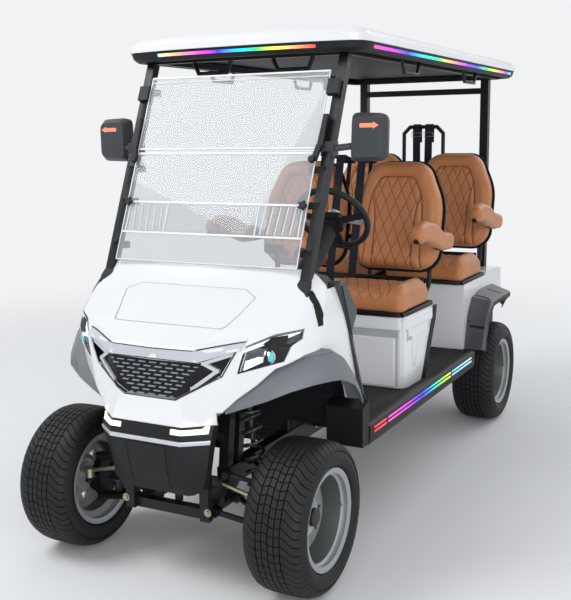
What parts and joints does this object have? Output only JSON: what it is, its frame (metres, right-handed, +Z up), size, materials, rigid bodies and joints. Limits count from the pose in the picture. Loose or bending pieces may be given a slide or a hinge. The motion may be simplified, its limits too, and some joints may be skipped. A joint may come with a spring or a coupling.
{
  "type": "golf cart",
  "caption": "Four-seat forward-facing electric golf cart with a roof, folding-height windscreen, quilted seats, light strips and off-road tyres.",
  "frame": {"origin": "on the ground under the middle of the whole cart", "axes": "-Y is the cart's nose, +X its left side, where the driver sits, +Z up"},
  "size_m": [1.3592, 3.274, 2.13],
  "materials": {
    "body_white": "gloss",
    "wing_grey": "satin",
    "black_moulding": "fine grain",
    "frame_black": "satin",
    "tyre": "matte",
    "wheel_silver": "satin",
    "zinc_steel": "zinc plated",
    "spring_steel": "satin",
    "seat_leather": "quilted",
    "floor_rubber": "ribbed",
    "clear_screen": "clear",
    "lamp_clear": "clear",
    "lamp_dark": "gloss",
    "light_strip": "frosted",
    "bright_trim": "satin",
    "lamp_red": "gloss",
    "belt_web": "woven",
    "battery_case": "plain"
  },
  "bodies": {
    "chassis": {"bag_frame": "frame_black", "bag_tray": "black_moulding", "battery_pack": "battery_case", "bumper_trim": "bright_trim", "dash": "black_moulding", "dash_ends": "black_moulding", "floor_pan": "floor_rubber", "front_backrests": "seat_leather", "front_bulkhead": "black_moulding", "front_cowl": "body_white", "front_cushions": "seat_leather", "front_lenses": "lamp_clear", "front_seat_pod": "body_white", "front_wings": "wing_grey", "grab_handles": "frame_black", "grille": "black_moulding", "grille_trim": "bright_trim", "headlamp_bowls": "lamp_dark", "hood_panel": "body_white", "light_strips": "light_strip", "main_frame": "frame_black", "mirrors": "black_moulding", "nose_bumper": "black_moulding", "pedals": "black_moulding", "rear_axle": "frame_black", "rear_backrests": "seat_leather", "rear_body": "body_white", "rear_cushions": "seat_leather", "rear_wings": "wing_grey", "roof": "body_white", "roof_fascia": "black_moulding", "roof_frame": "frame_black", "seat_belts": "belt_web", "seat_frame_front": "frame_black", "seat_frame_rear": "frame_black", "seat_shells": "black_moulding", "shock_absorbers": "spring_steel", "sills": "black_moulding", "steering_column": "black_moulding", "steering_gear": "frame_black", "suspension_arms": "frame_black", "tail_lamps": "lamp_red", "windscreen": "clear_screen", "windscreen_frame": "frame_black"},
    "knuckle_left": {"knuckle_left": "frame_black"},
    "knuckle_right": {"knuckle_right": "frame_black"},
    "steering_rack": {"steering_rack": "zinc_steel"},
    "steering_wheel": {"steering_wheel": "black_moulding"},
    "wheel_front_left": {"rim_front_left": "wheel_silver", "tyre_front_left": "tyre"},
    "armrest_front_left": {"armrest_front_left": "seat_leather"},
    "wheel_front_right": {"rim_front_right": "wheel_silver", "tyre_front_right": "tyre"},
    "armrest_front_right": {"armrest_front_right": "seat_leather"},
    "wheel_rear_left": {"rim_rear_left": "wheel_silver", "tyre_rear_left": "tyre"},
    "armrest_rear_left": {"armrest_rear_left": "seat_leather"},
    "wheel_rear_right": {"rim_rear_right": "wheel_silver", "tyre_rear_right": "tyre"},
    "armrest_rear_right": {"armrest_rear_right": "seat_leather"}
  },
  "joints": [
    {"name": "steer_left", "type": "hinge", "parent": "chassis", "child": "knuckle_left", "pos_m": [0.425, -1.345, 0.292], "axis": [0, 0, 1], "range_deg": [-26, 26]},
    {"name": "steer_right", "type": "hinge", "parent": "chassis", "child": "knuckle_right", "pos_m": [-0.425, -1.345, 0.292], "axis": [0, 0, 1], "range_deg": [-26, 26]},
    {"name": "rack_slide", "type": "slide", "parent": "chassis", "child": "steering_rack", "axis": [1, 0, 0], "range_m": [-0.0405, 0.0405]},
    {"name": "steering_wheel_turn", "type": "hinge", "parent": "chassis", "child": "steering_wheel", "pos_m": [0.325, -0.655, 1.34], "axis": [0, 0.7986, 0.6018], "range_deg": [-430, 430]},
    {"name": "spin_front_left", "type": "hinge", "parent": "knuckle_left", "child": "wheel_front_left", "pos_m": [0.52, -1.345, 0.292], "axis": [1, 0, 0], "continuous": true},
    {"name": "spin_front_right", "type": "hinge", "parent": "knuckle_right", "child": "wheel_front_right", "pos_m": [-0.52, -1.345, 0.292], "axis": [1, 0, 0], "continuous": true},
    {"name": "spin_rear_left", "type": "hinge", "parent": "chassis", "child": "wheel_rear_left", "pos_m": [0.495, 1.135, 0.292], "axis": [1, 0, 0], "continuous": true},
    {"name": "spin_rear_right", "type": "hinge", "parent": "chassis", "child": "wheel_rear_right", "pos_m": [-0.495, 1.135, 0.292], "axis": [1, 0, 0], "continuous": true},
    {"name": "armrest_front_left_lift", "type": "hinge", "parent": "chassis", "child": "armrest_front_left", "pos_m": [0.553, 0.174, 1.158], "axis": [-1, 0, 0], "range_deg": [0, 90]},
    {"name": "armrest_front_right_lift", "type": "hinge", "parent": "chassis", "child": "armrest_front_right", "pos_m": [-0.553, 0.174, 1.158], "axis": [-1, 0, 0], "range_deg": [0, 90]},
    {"name": "armrest_rear_left_lift", "type": "hinge", "parent": "chassis", "child": "armrest_rear_left", "pos_m": [0.553, 1.094, 1.18], "axis": [-1, 0, 0], "range_deg": [0, 90]},
    {"name": "armrest_rear_right_lift", "type": "hinge", "parent": "chassis", "child": "armrest_rear_right", "pos_m": [-0.553, 1.094, 1.18], "axis": [-1, 0, 0], "range_deg": [0, 90]}
  ],
  "couplings": [
    {"joint": "steer_right", "follows": "steer_left", "ratio": 1},
    {"joint": "rack_slide", "follows": "steer_left", "m_per_rad": 0.08887},
    {"joint": "steering_wheel_turn", "follows": "steer_left", "ratio": 16.5}
  ]
}
